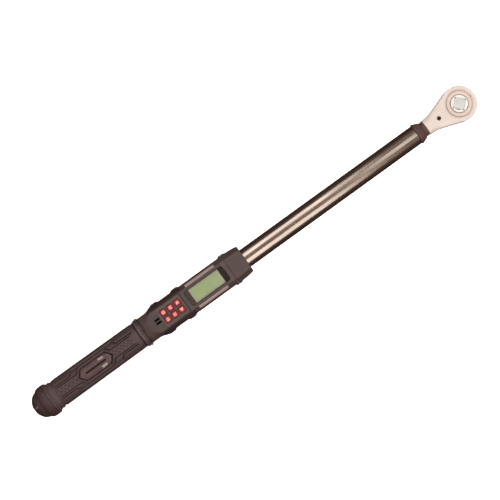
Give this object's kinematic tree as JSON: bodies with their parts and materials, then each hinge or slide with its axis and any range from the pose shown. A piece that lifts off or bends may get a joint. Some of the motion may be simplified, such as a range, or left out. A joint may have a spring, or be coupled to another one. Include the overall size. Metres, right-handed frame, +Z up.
{
  "type": "electronic torque wrench",
  "caption": "Long electronic torque wrench: round ratchet head with a push-through square drive, plated tube, display and keypad housing, rubber grip and screw-off battery cap.",
  "frame": {"origin": "centre of the square drive's lower end face, on the ratchet's axis", "axes": "+Z up the ratchet's axis, out of the side that the display faces; +X along the tool from the grip to the head; the ratchet turns about Z, and the tool's own axis is the line y = 0, z = 29.4 mm"},
  "size_m": [0.65, 0.044, 0.0523],
  "materials": {
    "satin_steel": "satin nickel plate",
    "polished_steel": "ground and polished",
    "dark_steel": "black oxide",
    "plated_tube": "smooth nickel plate",
    "black_plastic": "fine moulded texture",
    "black_rubber": "matt",
    "grip_rubber": "matt, textured bands",
    "badge_plastic": "smooth gloss",
    "smoked_clear": "smoked clear lens",
    "clear_plastic": "clear window",
    "lcd_green": "liquid crystal panel",
    "white_plastic": "diffusing plate",
    "key_red": "translucent silicone",
    "board_green": "circuit board",
    "gauge_foil": "foil on film",
    "cable_black": "moulded",
    "battery_case": "printed can"
  },
  "bodies": {
    "wrench_frame": {"ratchet_head": "satin_steel", "wheel_cover": "satin_steel", "cover_snap_ring": "dark_steel", "pawl_set_screw": "dark_steel", "pawl_spring": "polished_steel", "head_dowel": "polished_steel", "measuring_beam": "satin_steel", "strain_gauge_left": "gauge_foil", "strain_gauge_right": "gauge_foil", "beam_dowel_front": "polished_steel", "beam_dowel_rear": "polished_steel", "gauge_lead": "cable_black", "tube_collar": "black_plastic", "tube": "plated_tube", "housing_nose": "black_plastic", "front_cover": "black_plastic", "rear_cover": "black_plastic", "housing_screw_front_left": "dark_steel", "housing_screw_front_right": "dark_steel", "housing_screw_rear_left": "dark_steel", "housing_screw_rear_right": "dark_steel", "side_bumper_left": "black_rubber", "side_bumper_right": "black_rubber", "display_window": "clear_plastic", "lcd_bezel": "black_plastic", "lcd_panel": "lcd_green", "backlight_plate": "white_plastic", "main_board": "board_green", "buzzer": "cable_black", "light_bar_left": "smoked_clear", "light_bar_right": "smoked_clear", "lamp_board_left": "board_green", "lamp_board_right": "board_green", "keypad_plate": "black_plastic", "keypad_mat": "key_red", "handle_ring": "black_plastic", "grip": "grip_rubber", "grip_badge": "badge_plastic", "battery_sleeve": "cable_black", "battery_1": "battery_case", "battery_2": "battery_case", "battery_3": "battery_case", "inner_contact_spring": "polished_steel", "end_ferrule": "black_plastic"},
    "pawl": {"pawl": "dark_steel"},
    "ratchet_wheel": {"ratchet_wheel": "polished_steel"},
    "square_drive": {"square_drive": "polished_steel", "ball_spring_lower": "dark_steel", "ball_spring_upper": "dark_steel"},
    "socket_ball_lower": {"socket_ball_lower": "polished_steel"},
    "socket_ball_upper": {"socket_ball_upper": "polished_steel"},
    "key_power": {"key_power": "key_red"},
    "key_mode": {"key_mode": "key_red"},
    "key_up": {"key_up": "key_red"},
    "key_memory": {"key_memory": "key_red"},
    "key_units": {"key_units": "key_red"},
    "key_down": {"key_down": "key_red"},
    "cap_contact": {"cap_contact": "polished_steel"},
    "end_cap": {"end_cap": "black_rubber", "cap_seal": "black_rubber"}
  },
  "joints": [
    {"name": "wheel_spin", "type": "hinge", "parent": "wrench_frame", "child": "ratchet_wheel", "pos_m": [0, 0, 0.0294], "axis": [0, 0, 1], "continuous": true},
    {"name": "drive_push", "type": "slide", "parent": "ratchet_wheel", "child": "square_drive", "axis": [0, 0, 1], "range_m": [0, 0.0165]},
    {"name": "lower_ball_press", "type": "slide", "parent": "square_drive", "child": "socket_ball_lower", "axis": [0.7071, 0.7071, 0], "range_m": [0, 0.0008], "stiffness_N_per_m": 3000},
    {"name": "upper_ball_press", "type": "slide", "parent": "square_drive", "child": "socket_ball_upper", "axis": [0.7071, 0.7071, 0], "range_m": [0, 0.0008], "stiffness_N_per_m": 3000},
    {"name": "pawl_slide", "type": "slide", "parent": "wrench_frame", "child": "pawl", "axis": [-1, 0, 0], "range_m": [0, 0.0014], "stiffness_N_per_m": 1500, "deforming": ["pawl_spring"]},
    {"name": "key_power_press", "type": "slide", "parent": "wrench_frame", "child": "key_power", "axis": [0, 0, -1], "range_m": [0, 0.001], "stiffness_N_per_m": 1600},
    {"name": "key_mode_press", "type": "slide", "parent": "wrench_frame", "child": "key_mode", "axis": [0, 0, -1], "range_m": [0, 0.001], "stiffness_N_per_m": 1600},
    {"name": "key_up_press", "type": "slide", "parent": "wrench_frame", "child": "key_up", "axis": [0, 0, -1], "range_m": [0, 0.001], "stiffness_N_per_m": 1600},
    {"name": "key_memory_press", "type": "slide", "parent": "wrench_frame", "child": "key_memory", "axis": [0, 0, -1], "range_m": [0, 0.001], "stiffness_N_per_m": 1600},
    {"name": "key_units_press", "type": "slide", "parent": "wrench_frame", "child": "key_units", "axis": [0, 0, -1], "range_m": [0, 0.001], "stiffness_N_per_m": 1600},
    {"name": "key_down_press", "type": "slide", "parent": "wrench_frame", "child": "key_down", "axis": [0, 0, -1], "range_m": [0, 0.001], "stiffness_N_per_m": 1600},
    {"name": "cap_travel", "type": "slide", "parent": "wrench_frame", "child": "cap_contact", "axis": [-1, 0, 0], "range_m": [0, 0.0105]},
    {"name": "cap_turn", "type": "hinge", "parent": "cap_contact", "child": "end_cap", "pos_m": [-0.61, 0, 0.0294], "axis": [-1, 0, 0], "range_deg": [0, 1080]}
  ],
  "couplings": [
    {"joint": "cap_travel", "follows": "cap_turn", "m_per_rad": 0.00055704}
  ]
}
